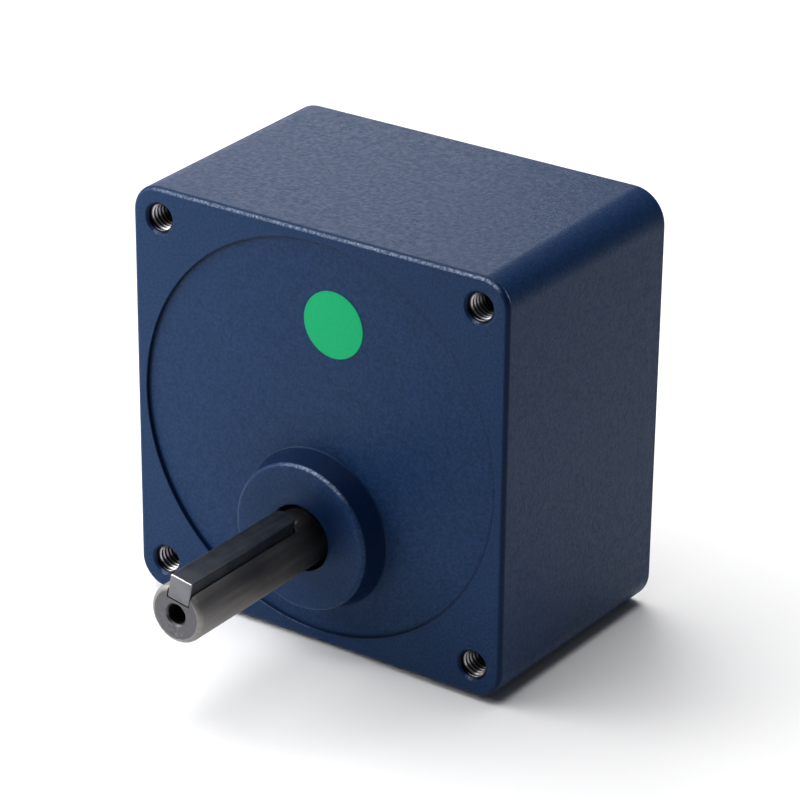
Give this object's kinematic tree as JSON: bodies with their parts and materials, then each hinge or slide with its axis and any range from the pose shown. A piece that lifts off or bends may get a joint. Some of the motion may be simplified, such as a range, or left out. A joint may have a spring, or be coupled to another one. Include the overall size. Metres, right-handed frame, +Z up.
{
  "type": "gear motor reducer",
  "caption": "Square gear reducer of a gear motor: offset keyed output shaft, three spur stages, through-tapped corner holes and a rear motor register.",
  "frame": {"origin": "centre of the front mounting face, midway between the four corner holes, on the axis of the motor that mounts behind", "axes": "-Y out of the front face along the output shaft, +Y back to the motor, +Z up, away from the output shaft's side, +X right as seen from the shaft"},
  "size_m": [0.09, 0.098, 0.09],
  "materials": {
    "housing_paint": "satin navy paint with a fine orange peel grain",
    "machined_iron": "bare machined face",
    "shaft_steel": "turned and ground steel",
    "key_steel": "black oxide with bright cut ends",
    "gear_steel": "hobbed and hardened steel, oiled",
    "bearing_steel": "ground and polished",
    "bush_bronze": "sintered bronze, oiled",
    "screw_steel": "black oxide",
    "seal_rubber": "black nitrile rubber",
    "sticker_green": "plain green paper sticker"
  },
  "bodies": {
    "housing": {"gear_case": "housing_paint", "rear_plate": "machined_iron", "plate_screws": "screw_steel", "oil_seal": "seal_rubber", "front_bearing_outer_ring": "bearing_steel", "first_front_bush": "bush_bronze", "second_front_bush": "bush_bronze", "first_rear_bush": "bush_bronze", "second_rear_bush": "bush_bronze", "output_rear_bush": "bush_bronze", "inspection_sticker": "sticker_green"},
    "output": {"output_shaft": "shaft_steel", "shaft_key": "key_steel", "output_wheel": "gear_steel", "output_wheel_key": "key_steel", "front_bearing_inner_ring": "bearing_steel"},
    "second_countershaft": {"second_pinion_shaft": "gear_steel", "second_wheel": "gear_steel"},
    "first_countershaft": {"first_pinion_shaft": "gear_steel", "first_wheel": "gear_steel"}
  },
  "joints": [
    {"name": "output_spin", "type": "hinge", "parent": "housing", "child": "output", "pos_m": [0, 0, -0.019], "axis": [0, -1, 0], "continuous": true},
    {"name": "second_countershaft_spin", "type": "hinge", "parent": "housing", "child": "second_countershaft", "pos_m": [0.01915, 0, -0.00293], "axis": [0, -1, 0], "continuous": true},
    {"name": "first_countershaft_spin", "type": "hinge", "parent": "housing", "child": "first_countershaft", "pos_m": [0.01024, 0, 0.01718], "axis": [0, -1, 0], "continuous": true}
  ],
  "couplings": [
    {"joint": "second_countershaft_spin", "follows": "output_spin", "ratio": -2.3333},
    {"joint": "first_countershaft_spin", "follows": "output_spin", "ratio": 6.2222}
  ]
}
